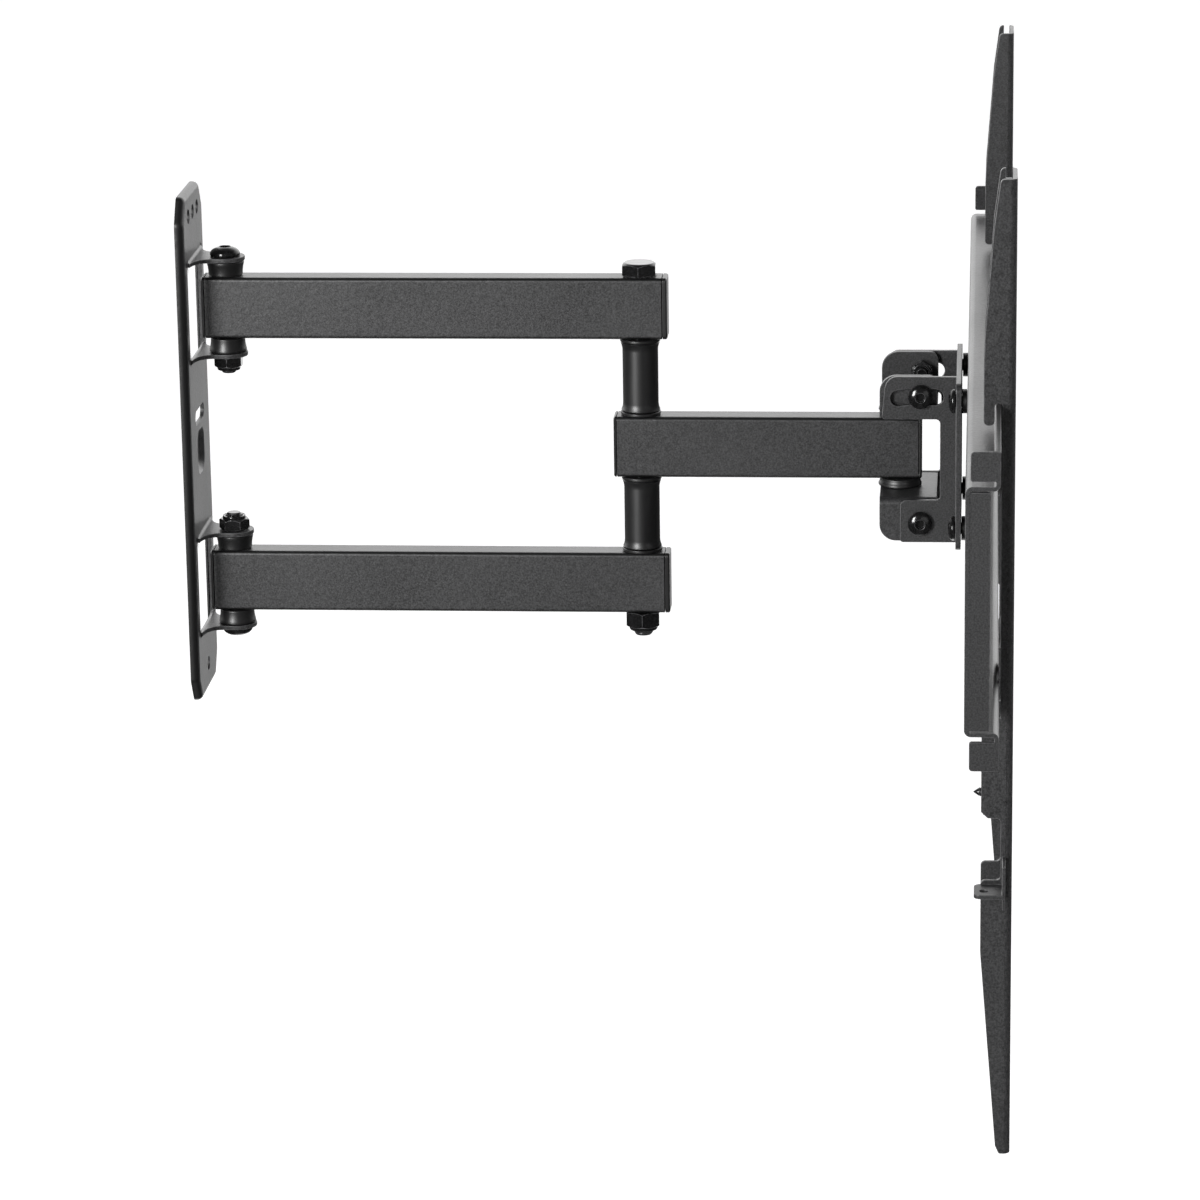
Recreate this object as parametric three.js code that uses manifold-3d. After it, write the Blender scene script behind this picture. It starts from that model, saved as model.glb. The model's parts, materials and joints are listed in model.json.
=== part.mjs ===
// Full motion TV wall mount: two parallel arms, a middle arm, a tilting head and two TV brackets.
// Millimetres, +Z up. The origin is the middle of the wall plate's back, and +X leads out of the wall.
import * as THREE from "three";
import { mergeVertices } from "three/addons/utils/BufferGeometryUtils.js";
import Module from "manifold-3d";

const wasm = await Module();
wasm.setup();

// Driving dimensions
const FIT = 0.3; // gap left between pieces that touch
const SHEET = 2; // pressed steel of the wall plate, rail and TV brackets
const HEAD_SHEET = 2.5; // heavier steel of the tilting head

const WALL_AXIS_X = 19.5; // the arms turn on the wall plate here
const ARM_LENGTH = 200; // from wall axis to elbow
const MID_LENGTH = 125; // from elbow to head axis
const ELBOW_X = WALL_AXIS_X + ARM_LENGTH;
const HEAD_AXIS_X = ELBOW_X + MID_LENGTH;
const ARM_Z = 68; // height of the upper arm's middle, and depth of the lower one's

const TUBE = { height: 30, width: 15, wall: 1.5, corner: 2 };
const CAP = { wallSide: 1.2, elbowSide: 2.2, plug: 4 };

const PLATE = { height: 250, width: 60, depth: 4.4, bend: 3, chamferY: 8, chamferZ: 12 };
const WINDOW = { width: 42, halfHeight: 22.5 };
const EAR = { radius: 9.5, bend: 2.5 };
const PAD = { z: -4, width: 14, height: 16, corner: 4, slope: 3 };
const WALL_HOLE = { radius: 3.5, topZ: 114, topPitch: 13, middleZ: 14, middleLength: 26, bottomZ: -112 };

const WALL_BOLT = { shank: 4, head: 7.25, headHeight: 4.6, socket: 2.5, nutFlats: 13, nut: 5, collar: 2 };
const ELBOW_BOLT = { shank: 5, flats: 16, headHeight: 6.4, nutFlats: 16, nut: 7.4, collar: 2.2 };
const WASHER = { radius: 9.7, height: 1.5 };
const WALL_BUSHING_RADIUS = 9;
const SLEEVE_RADIUS = 8.6;
const HEAD_BUSHING_RADIUS = 10.4;

const CLEVIS = { innerZ: 19.5, outerZ: 40.5, halfWidth: 27.2, back: -9.4, front: 18, corner: 8 };
const TILT = {
  x: 10, // tilt bolts stand this far in front of the head axis
  z: 31, // height of the slotted bolts, and depth of the pivot bolts
  up: THREE.MathUtils.degToRad(6.6), // slot beyond the bolt, front side
  down: THREE.MathUtils.degToRad(9.6), // slot beyond the bolt, back side
  slot: 3.9,
  halfWidth: 30,
  halfHeight: 40.5,
  plateX: 27, // inner face of the front plate
  plateHalfWidth: 47,
  windowHalfHeight: 19.8,
};
const HEAD_BOLT = { shank: 3, head: 5.8, headHeight: 3.6, socket: 2, nutFlats: 10, nut: 4, collar: 1.4 };
const PLATE_BOLT = { y: 39, z: 31 };
const SPACER = { radius: 5.8, height: 3 };

const RAIL = {
  back: TILT.plateX + HEAD_SHEET + SPACER.height,
  depth: 15,
  halfLength: 300,
  flangeZ: 55,
  lipZ: 70.2,
  endFlangeDepth: 10.8,
  tabBack: 34.7,
  tabFoot: 2.2, // gap between a tab and the flange below it
  bend: 2,
};
const BRACKET = { y: 200, width: 28.7, top: 170, bottom: -279, face: 54, back: 40, edge: 48.3, bend: 2 };
const RELIEF = 4.5; // notch that frees the far flange's bend at the top of a TV bracket
const TV_SLOT = { halfWidth: 4.25, halfLength: 30, pitch: 100, firstZ: -180, count: 4 };
const LOCK = { z: -111, shank: 2.2, head: 4, tipX: 36.6, point: 3, bridgeX: 42, bridgeHeight: 13 };
const LATCH = { x: 37, z: -151, reach: 15, corner: 3, hole: 2 };

// Materials
const paint = new THREE.MeshStandardMaterial({ color: 0x3c3d3f, roughness: 0.72, metalness: 0.25 });
const plastic = new THREE.MeshStandardMaterial({ color: 0x121213, roughness: 0.35, metalness: 0 });
const blackSteel = new THREE.MeshStandardMaterial({ color: 0x17181a, roughness: 0.3, metalness: 0.8 });

// Solids
function solid(geometry) {
  const open = geometry.index ? geometry.toNonIndexed() : geometry.clone();
  open.deleteAttribute("normal");
  open.deleteAttribute("uv");
  const merged = mergeVertices(open, 1e-4);
  return new wasm.Manifold(
    new wasm.Mesh({
      numProp: 3,
      vertProperties: merged.attributes.position.array,
      triVerts: new Uint32Array(merged.index.array),
    }),
  );
}

function geometryOf(body) {
  const { numProp, vertProperties, triVerts } = body.getMesh();
  const points = new THREE.InterleavedBuffer(vertProperties, numProp);
  const geometry = new THREE.BufferGeometry();
  geometry.setAttribute("position", new THREE.InterleavedBufferAttribute(points, 3, 0));
  geometry.setIndex(new THREE.BufferAttribute(triVerts, 1));
  const faceted = geometry.toNonIndexed();
  faceted.computeVertexNormals();
  return faceted;
}

function add(group, name, body, material) {
  const mesh = new THREE.Mesh(geometryOf(body), material);
  mesh.name = name;
  group.add(mesh);
}

const joined = (bodies) => bodies.reduce((sum, body) => sum.add(body));
const less = (body, cuts) => cuts.reduce((rest, cut) => rest.subtract(cut), body);
const both = (make) => [-1, 1].map(make);

function box([x0, x1], [y0, y1], [z0, z1]) {
  const block = new THREE.BoxGeometry(x1 - x0, y1 - y0, z1 - z0);
  return solid(block.translate((x0 + x1) / 2, (y0 + y1) / 2, (z0 + z1) / 2));
}

// An outline in YZ, XZ or XY, drawn out along the remaining axis.
const X_WAYS = new THREE.Matrix4().set(0, 0, 1, 0, 1, 0, 0, 0, 0, 1, 0, 0, 0, 0, 0, 1);
const Y_WAYS = new THREE.Matrix4().set(1, 0, 0, 0, 0, 0, -1, 0, 0, 1, 0, 0, 0, 0, 0, 1);

function extruded(shape, [low, high], steps = 8) {
  const options = { depth: high - low, bevelEnabled: false, curveSegments: steps };
  return new THREE.ExtrudeGeometry(shape, options).translate(0, 0, low);
}
const alongX = (shape, span, steps) => solid(extruded(shape, span, steps).applyMatrix4(X_WAYS));
const alongY = (shape, [low, high], steps) =>
  solid(extruded(shape, [-high, -low], steps).applyMatrix4(Y_WAYS));
const alongZ = (shape, span, steps) => solid(extruded(shape, span, steps));

function polygon(points) {
  return new THREE.Shape(points.map(([x, y]) => new THREE.Vector2(x, y)));
}

// A polygon whose corners are rounded, each point given as [x, y, radius].
function rounded(points) {
  const shape = new THREE.Shape();
  points.forEach(([x, y, radius = 0], i) => {
    const corner = new THREE.Vector2(x, y);
    const [before, after] = [points.at(i - 1), points[(i + 1) % points.length]].map(([px, py]) =>
      new THREE.Vector2(px, py).sub(corner).normalize(),
    );
    const reach = radius / Math.tan(before.angleTo(after) / 2);
    const start = corner.clone().addScaledVector(before, reach);
    const end = corner.clone().addScaledVector(after, reach);
    const middle = before.clone().add(after).normalize();
    const centre = corner.clone().addScaledVector(middle, Math.hypot(radius, reach));
    if (i === 0) shape.moveTo(start.x, start.y);
    else shape.lineTo(start.x, start.y);
    if (radius > 0) {
      const from = start.clone().sub(centre).angle();
      const to = end.clone().sub(centre).angle();
      shape.absarc(centre.x, centre.y, radius, from, to, before.cross(after) > 0);
    }
  });
  shape.closePath();
  return shape;
}

function rectangle(width, height, radius) {
  const [x, y] = [width / 2, height / 2];
  return rounded([
    [-x, -y, radius],
    [x, -y, radius],
    [x, y, radius],
    [-x, y, radius],
  ]);
}

// The section of a bent strip: a line of middle points, a thickness, and a bend radius at mid-sheet.
function strip(points, thickness, radius) {
  const path = new THREE.Path();
  const line = points.map(([x, y]) => new THREE.Vector2(x, y));
  path.moveTo(line[0].x, line[0].y);
  line.slice(1, -1).forEach((corner, i) => {
    const before = line[i].clone().sub(corner).normalize();
    const after = line[i + 2].clone().sub(corner).normalize();
    const reach = radius / Math.tan(before.angleTo(after) / 2);
    const start = corner.clone().addScaledVector(before, reach);
    const end = corner.clone().addScaledVector(after, reach);
    const middle = before.clone().add(after).normalize();
    const centre = corner.clone().addScaledVector(middle, Math.hypot(radius, reach));
    path.lineTo(start.x, start.y);
    const from = start.clone().sub(centre).angle();
    const to = end.clone().sub(centre).angle();
    path.absarc(centre.x, centre.y, radius, from, to, before.cross(after) > 0);
  });
  path.lineTo(line.at(-1).x, line.at(-1).y);
  const along = path.getPoints(5).filter((p, i, all) => i === 0 || p.distanceTo(all[i - 1]) > 1e-6);
  const side = (distance) =>
    along.map((point, i) => {
      const back = point.clone().sub(along[Math.max(i - 1, 0)]).normalize();
      const ahead = along[Math.min(i + 1, along.length - 1)].clone().sub(point).normalize();
      const heading = back.add(ahead).normalize();
      return new THREE.Vector2(point.x - heading.y * distance, point.y + heading.x * distance);
    });
  return new THREE.Shape([...side(thickness / 2), ...side(-thickness / 2).reverse()]);
}

function circle(x, y, radius) {
  return new THREE.Shape().absarc(x, y, radius, 0, 2 * Math.PI);
}

function hexagon(flats) {
  const radius = flats / Math.sqrt(3);
  const corner = (i) => [radius * Math.sin((i * Math.PI) / 3), radius * Math.cos((i * Math.PI) / 3)];
  return polygon([0, 1, 2, 3, 4, 5].map((i) => corner(-i)));
}

// A round piece about the Z axis, from its [radius, height] profile listed upwards.
function turned(profile, segments = 16) {
  const outline = profile.map(([radius, height]) => new THREE.Vector2(radius, height));
  return solid(new THREE.LatheGeometry(outline, segments).rotateX(Math.PI / 2));
}

// A washer or bush that stands on z = 0.
function ring(outer, inner, height, edge = 0.5) {
  return turned([
    [inner, 0],
    [outer - edge, 0],
    [outer, edge],
    [outer, height - edge],
    [outer - edge, height],
    [inner, height],
    [inner, 0],
  ]);
}

const at = (body, x, y, z) => body.translate([x, y, z]);
const flipped = (body) => body.rotate([180, 0, 0]);

// Fasteners: the head or nut sits on z = 0 and the shank or bore runs down from there.
function domeBolt({ shank, head, headHeight, socket }, length) {
  const dome = [1, 2, 3, 4].map((i) => {
    const turn = (i * Math.PI) / 10;
    return [head * Math.cos(turn), 1 + (headHeight - 1) * Math.sin(turn) * 1.05];
  });
  const pin = [[0, -length], [shank, -length], [shank, 0]];
  const body = turned([...pin, [head, 0], [head, 1], ...dome, [0, headHeight]]);
  return body.subtract(alongZ(hexagon(socket * 2), [headHeight - 2.4, headHeight + 1]));
}

function hexBolt({ shank, flats, headHeight }, length) {
  const crown = turned([
    [0, 0],
    [flats * 0.6, 0],
    [flats * 0.6, headHeight - 1],
    [flats * 0.45, headHeight],
    [0, headHeight],
  ]);
  const body = turned([[0, -length], [shank, -length], [shank, 1], [0, 1]]);
  return alongZ(hexagon(flats), [0, headHeight]).intersect(crown).add(body);
}

function lockNut({ shank, nutFlats, nut, collar }) {
  const bore = shank + FIT;
  const outer = nutFlats * 0.6;
  const chamfer = turned([
    [0, -nut - 0.01],
    [nutFlats * 0.48, -nut],
    [outer, 1 - nut],
    [outer, 0.01],
    [0, 0.01],
  ]);
  const hex = alongZ(hexagon(nutFlats), [-nut, 0]).intersect(chamfer);
  const round = nutFlats * 0.42;
  const top = turned([
    [0, -nut - collar],
    [round - 1, -nut - collar],
    [round, 1 - nut - collar],
    [round, -1],
    [0, -1],
  ]);
  const low = -nut - collar - 1;
  return hex.add(top).subtract(turned([[0, low], [bore, low], [bore, 1], [0, 1]]));
}
const nutHeight = ({ nut, collar }) => nut + collar;

// Wall plate
function panBlock(inset, front, radius) {
  const [y, z] = [PLATE.width / 2 - inset, PLATE.height / 2 - inset];
  const outline = polygon([
    [y - PLATE.chamferY, -z],
    [y, -z + PLATE.chamferZ],
    [y, z - PLATE.chamferZ],
    [y - PLATE.chamferY, z],
    [-y + PLATE.chamferY, z],
    [-y, z - PLATE.chamferZ],
    [-y, -z + PLATE.chamferZ],
    [-y + PLATE.chamferY, -z],
  ]);
  const options = {
    depth: 10,
    bevelSize: radius,
    bevelThickness: radius,
    bevelOffset: -radius,
    bevelSegments: 3,
  };
  const block = new THREE.ExtrudeGeometry(outline, options).translate(0, 0, front - radius - options.depth);
  return solid(block.applyMatrix4(X_WAYS));
}

function pressedPad(floor) {
  const options = {
    depth: 6,
    bevelSize: PAD.slope,
    bevelThickness: PLATE.depth - SHEET,
    bevelSegments: 1,
    curveSegments: 3,
  };
  const block = new THREE.ExtrudeGeometry(rectangle(PAD.width, PAD.height, PAD.corner), options);
  return solid(block.translate(0, PAD.z, floor + options.bevelThickness).applyMatrix4(X_WAYS));
}

function ear(z, way) {
  const middle = z + (way * SHEET) / 2;
  const bendStart = middle + way * 8;
  const line = [
    [PLATE.depth - SHEET / 2, bendStart],
    [PLATE.depth - SHEET / 2, middle],
    [WALL_AXIS_X + EAR.radius + 1, middle],
  ];
  const root = WINDOW.width / 2;
  const bent = alongY(strip(line, SHEET, EAR.bend), [-root, root]);
  const [rootX, neckX] = [PLATE.depth + 1, WALL_AXIS_X - 5];
  const plan = new THREE.Shape()
    .moveTo(0, -root)
    .lineTo(rootX, -root)
    .quadraticCurveTo(rootX + 1, -EAR.radius, neckX, -EAR.radius)
    .absarc(WALL_AXIS_X, 0, EAR.radius, -Math.PI / 2, Math.PI / 2)
    .lineTo(neckX, EAR.radius)
    .quadraticCurveTo(rootX + 1, EAR.radius, rootX, root)
    .lineTo(0, root);
  const levels = [Math.min(z, bendStart) - 5, Math.max(z, bendStart) + 5];
  const bore = alongZ(circle(WALL_AXIS_X, 0, WALL_BOLT.shank + FIT), levels);
  return bent.intersect(alongZ(plan, levels, 12)).subtract(bore);
}

function wallPlate() {
  const across = [-1, PLATE.depth + 1];
  const half = WINDOW.halfHeight + EAR.bend + SHEET / 2;
  const pan = panBlock(0, PLATE.depth, PLATE.bend)
    .subtract(panBlock(SHEET, PLATE.depth - SHEET, PLATE.bend - SHEET))
    .intersect(box([0, PLATE.depth + 1], [-50, 50], [-200, 200]));
  const pad = pressedPad(0).intersect(box([0, PLATE.depth - 1], [-50, 50], [-50, 50]));
  const windows = both((side) =>
    box(across, [-WINDOW.width / 2, WINDOW.width / 2], [side * ARM_Z - half, side * ARM_Z + half]),
  );
  const holes = [
    [-WALL_HOLE.topPitch, WALL_HOLE.topZ],
    [0, WALL_HOLE.topZ],
    [WALL_HOLE.topPitch, WALL_HOLE.topZ],
    [0, WALL_HOLE.bottomZ],
  ];
  const bores = holes.map(([y, z]) => alongX(circle(y, z, WALL_HOLE.radius), across));
  const slot = rectangle(WALL_HOLE.middleLength, 2 * WALL_HOLE.radius, WALL_HOLE.radius - 0.05);
  bores.push(at(alongX(slot, across), 0, 0, WALL_HOLE.middleZ));
  const ears = both((side) => both((way) => ear(side * ARM_Z + way * WINDOW.halfHeight, way))).flat();
  return joined([less(pan.add(pad), [pressedPad(SHEET), ...windows, ...bores]), ...ears]);
}

// Arms
function tube(x0, x1, z, boltXs, radius) {
  const inner = 2 * TUBE.wall;
  const outer = alongX(rectangle(TUBE.width, TUBE.height, TUBE.corner), [x0, x1], 4);
  const hollow = alongX(rectangle(TUBE.width - inner, TUBE.height - inner, 0.8), [x0 - 1, x1 + 1], 2);
  const bores = boltXs.map((x) => alongZ(circle(x, 0, radius), [-TUBE.height, TUBE.height]));
  return at(less(outer, [hollow, ...bores]), 0, 0, z);
}

// A cap whose flange starts at x and grows that way, with its plug pointing back into the tube.
function endCap(x, z, flange, way) {
  const inner = 2 * (TUBE.wall + FIT);
  const span = (from, to) => [Math.min(from, to), Math.max(from, to)];
  const face = alongX(rectangle(TUBE.width, TUBE.height, TUBE.corner), span(x, x + way * flange), 4);
  const plug = alongX(
    rectangle(TUBE.width - inner, TUBE.height - inner, 0.8),
    span(x + way * 0.5, x - way * CAP.plug),
    2,
  );
  return at(face.add(plug), 0, 0, z);
}

function buildWall(group) {
  add(group, "wall_plate", wallPlate(), paint);
  const earFace = WINDOW.halfHeight + SHEET + FIT;
  const length = 2 * earFace + nutHeight(WALL_BOLT) + 1.2;
  const bolt = at(domeBolt(WALL_BOLT, length), 0, 0, earFace);
  const nut = at(lockNut(WALL_BOLT), 0, 0, -earFace);
  [["upper", ARM_Z, (b) => b], ["lower", -ARM_Z, flipped]].forEach(([side, z, turn]) => {
    add(group, `${side}_wall_bolt`, at(turn(bolt), WALL_AXIS_X, 0, z), blackSteel);
    add(group, `${side}_wall_nut`, at(turn(nut), WALL_AXIS_X, 0, z), blackSteel);
  });
}

function buildArms(group) {
  const [wallEnd, elbowEnd] = [WALL_AXIS_X - 9.8, ELBOW_X + 11];
  const bushing = WINDOW.halfHeight - TUBE.height / 2 - 2 * FIT;
  both((side) => {
    const name = side > 0 ? "upper" : "lower";
    const z = side * ARM_Z;
    const arm = less(tube(wallEnd, elbowEnd, z, [WALL_AXIS_X], WALL_BOLT.shank + FIT), [
      alongZ(circle(ELBOW_X, 0, ELBOW_BOLT.shank + FIT), [z - TUBE.height, z + TUBE.height]),
    ]);
    add(group, `${name}_arm`, arm, paint);
    add(group, `${name}_arm_wall_cap`, endCap(wallEnd - FIT, z, CAP.wallSide, -1), plastic);
    add(group, `${name}_arm_elbow_cap`, endCap(elbowEnd + FIT, z, CAP.elbowSide, 1), plastic);
    both((way) => {
      const base = way > 0 ? TUBE.height / 2 + FIT : -TUBE.height / 2 - FIT - bushing;
      const end = way > 0 ? "top" : "bottom";
      const piece = ring(WALL_BUSHING_RADIUS, WALL_BOLT.shank + FIT, bushing, 0.8);
      add(group, `${name}_arm_${end}_bushing`, at(piece, WALL_AXIS_X, 0, z + base), plastic);
    });
    const sleeve = ARM_Z - TUBE.height - 2 * WASHER.height - 4 * FIT;
    const sleeveRing = ring(SLEEVE_RADIUS, ELBOW_BOLT.shank + FIT, sleeve, 0.4);
    add(group, `${name}_elbow_sleeve`, at(sleeveRing, ELBOW_X, 0, (z - sleeve) / 2), plastic);
    const washer = ring(WASHER.radius, ELBOW_BOLT.shank + FIT, WASHER.height, 0.3);
    const middle = WASHER.height / 2;
    const places = [
      ["inner", TUBE.height / 2 + FIT + middle],
      ["outer", ARM_Z - TUBE.height / 2 - FIT - middle],
    ];
    places.forEach(([place, height]) => {
      const base = side * height - middle;
      add(group, `${name}_${place}_washer`, at(washer, ELBOW_X, 0, base), plastic);
    });
  });
  const top = ARM_Z + TUBE.height / 2 + FIT;
  const length = 2 * top + nutHeight(ELBOW_BOLT) + 2.5;
  add(group, "elbow_bolt", at(hexBolt(ELBOW_BOLT, length), ELBOW_X, 0, top), blackSteel);
  add(group, "elbow_nut", at(lockNut(ELBOW_BOLT), ELBOW_X, 0, -top), blackSteel);
}

function buildMidArm(group) {
  const [elbowEnd, headEnd] = [ELBOW_X - 11.4, HEAD_AXIS_X + 9];
  const arm = tube(elbowEnd, headEnd, 0, [ELBOW_X, HEAD_AXIS_X], ELBOW_BOLT.shank + FIT);
  add(group, "mid_arm", arm, paint);
  add(group, "mid_arm_elbow_cap", endCap(elbowEnd - FIT, 0, CAP.wallSide, -1), plastic);
  add(group, "mid_arm_head_cap", endCap(headEnd + FIT, 0, CAP.wallSide, 1), plastic);
  const height = CLEVIS.innerZ - TUBE.height / 2 - 2 * FIT;
  const bushing = ring(HEAD_BUSHING_RADIUS, ELBOW_BOLT.shank + FIT, height, 0.6);
  const base = TUBE.height / 2 + FIT;
  add(group, "upper_head_bushing", at(bushing, HEAD_AXIS_X, 0, base), plastic);
  add(group, "lower_head_bushing", at(bushing, HEAD_AXIS_X, 0, -base - height), plastic);
}

// Head: x is measured from the head axis from here on.
function clevis() {
  const [y, z] = [CLEVIS.halfWidth - HEAD_SHEET / 2, CLEVIS.innerZ + HEAD_SHEET / 2];
  const line = [
    [-y, CLEVIS.outerZ],
    [-y, z],
    [y, z],
    [y, CLEVIS.outerZ],
  ];
  const cup = alongX(strip(line, HEAD_SHEET, 2.2), [CLEVIS.back, CLEVIS.front]);
  const side = rounded([
    [CLEVIS.back, CLEVIS.innerZ - 1],
    [CLEVIS.front, CLEVIS.innerZ - 1],
    [CLEVIS.front, CLEVIS.outerZ, 4],
    [CLEVIS.back, CLEVIS.outerZ, CLEVIS.corner],
  ]);
  const reach = [-CLEVIS.halfWidth - 1, CLEVIS.halfWidth + 1];
  return less(cup.intersect(alongY(side, reach, 5)), [
    alongZ(circle(0, 0, ELBOW_BOLT.shank + FIT), [0, CLEVIS.innerZ + HEAD_SHEET + 1]),
    alongY(circle(TILT.x, TILT.z, HEAD_BOLT.shank + FIT), reach),
  ]);
}

// The four holes that join the tilt bracket's plate to the rail.
function plateBores(reach) {
  const bore = (y, z) => alongX(circle(y * PLATE_BOLT.y, z * PLATE_BOLT.z, HEAD_BOLT.shank + FIT), reach);
  return both((y) => both((z) => bore(y, z))).flat();
}

// The slot's arc about the tilt axis, with round ends.
function tiltSlot() {
  const [x, z, radius] = [TILT.x, -TILT.z, 2 * TILT.z];
  const [front, back] = [Math.PI / 2 - TILT.up, Math.PI / 2 + TILT.down];
  const end = (angle) => [x + radius * Math.cos(angle), z + radius * Math.sin(angle)];
  return new THREE.Shape()
    .absarc(x, z, radius + TILT.slot, front, back)
    .absarc(...end(back), TILT.slot, back, back + Math.PI)
    .absarc(x, z, radius - TILT.slot, back, front, true)
    .absarc(...end(front), TILT.slot, front + Math.PI, front + 2 * Math.PI);
}

function tiltBracket() {
  const { halfHeight: top, windowHalfHeight: window, plateX: plate } = TILT;
  const side = rounded([
    [-6.4, top, 6],
    [-8.4, window, 1.5],
    [19.4, window, 2],
    [19.4, -window, 2],
    [0.5, -window, 3],
    [0.5, -top, 1.5],
    [plate + 1, -top],
    [plate + 1, top],
  ]);
  const sides = both((way) => {
    const outer = way * TILT.halfWidth;
    const inner = way * (TILT.halfWidth - HEAD_SHEET);
    return alongY(side, [Math.min(outer, inner), Math.max(outer, inner)], 5);
  });
  const plateSpan = [plate, plate + HEAD_SHEET];
  const front = alongX(rectangle(2 * TILT.plateHalfWidth, 2 * top, 4), plateSpan, 4);
  const reach = [-TILT.halfWidth - 1, TILT.halfWidth + 1];
  const bores = plateBores([plate - 5, plate + 5]);
  const pivots = alongY(circle(TILT.x, -TILT.z, HEAD_BOLT.shank + FIT), reach);
  return less(joined([front, ...sides]), [alongY(tiltSlot(), reach, 10), pivots, ...bores]);
}

function buildSwivelHead(group) {
  add(group, "upper_clevis", clevis(), paint);
  add(group, "lower_clevis", flipped(clevis()), paint);
  const seat = CLEVIS.innerZ + HEAD_SHEET + FIT;
  const length = 2 * seat + nutHeight(ELBOW_BOLT) + 1;
  add(group, "head_pivot_bolt", at(hexBolt(ELBOW_BOLT, length), 0, 0, seat), blackSteel);
  add(group, "head_pivot_nut", at(lockNut(ELBOW_BOLT), 0, 0, -seat), blackSteel);
  const head = TILT.halfWidth + FIT;
  const nut = CLEVIS.halfWidth - HEAD_SHEET - FIT;
  const bolt = domeBolt(HEAD_BOLT, head - nut + nutHeight(HEAD_BOLT) + 0.8).rotate([90, 0, 0]);
  const lock = lockNut(HEAD_BOLT).rotate([90, 0, 0]);
  both((side) =>
    both((level) => {
      const turn = (body) => (side < 0 ? body : body.rotate([0, 0, 180]));
      const name = `${side < 0 ? "near" : "far"}_${level > 0 ? "upper" : "lower"}_tilt`;
      const [x, z] = [TILT.x, level * TILT.z];
      add(group, `${name}_bolt`, at(turn(bolt), x, side * head, z), blackSteel);
      add(group, `${name}_nut`, at(turn(lock), x, side * nut, z), blackSteel);
    }),
  );
}

// Rail and its bolts
function rail() {
  const { back, depth, halfLength, flangeZ, lipZ } = RAIL;
  const [web, lip, flange] = [back + SHEET / 2, back + depth - SHEET / 2, flangeZ - SHEET / 2];
  const line = [
    [lip, lipZ],
    [lip, flange],
    [web, flange],
    [web, -flange],
    [lip, -flange],
    [lip, -lipZ],
  ];
  const channel = alongY(strip(line, SHEET, RAIL.bend), [-halfLength, halfLength]);
  const ends = both((side) => {
    const span = side > 0 ? [halfLength - SHEET, halfLength] : [-halfLength, SHEET - halfLength];
    const flapZ = flangeZ - SHEET - 0.5;
    const flap = box([back + 1, back + RAIL.endFlangeDepth], span, [-flapZ, flapZ]);
    const tabs = both((way) => {
      const [foot, head, front] = [way * (flangeZ + RAIL.tabFoot), way * lipZ, back + depth - 1];
      const outline = rounded([
        [RAIL.tabBack, foot, 1],
        [front, foot],
        [front, head],
        [RAIL.tabBack, head, 1.5],
      ]);
      return alongY(outline, span, 3);
    });
    return [flap, ...tabs];
  }).flat();
  return less(joined([channel, ...ends]), plateBores([back - 5, back + 5]));
}

function buildTiltHead(group) {
  add(group, "tilt_bracket", tiltBracket(), paint);
  add(group, "tv_rail", rail(), paint);
  const bolt = domeBolt(HEAD_BOLT, 15.5).rotate([0, -90, 0]);
  const nut = lockNut(HEAD_BOLT).rotate([0, -90, 0]);
  const spacer = ring(SPACER.radius, HEAD_BOLT.shank + FIT, SPACER.height - 2 * FIT).rotate([0, 90, 0]);
  both((side) =>
    both((level) => {
      const name = `${side < 0 ? "near" : "far"}_${level > 0 ? "upper" : "lower"}_plate`;
      const [y, z] = [side * PLATE_BOLT.y, level * PLATE_BOLT.z];
      add(group, `${name}_bolt`, at(bolt, TILT.plateX - FIT, y, z), blackSteel);
      add(group, `${name}_spacer`, at(spacer, TILT.plateX + HEAD_SHEET + FIT, y, z), plastic);
      add(group, `${name}_nut`, at(nut, RAIL.back + SHEET + FIT, y, z), blackSteel);
    }),
  );
}

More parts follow.
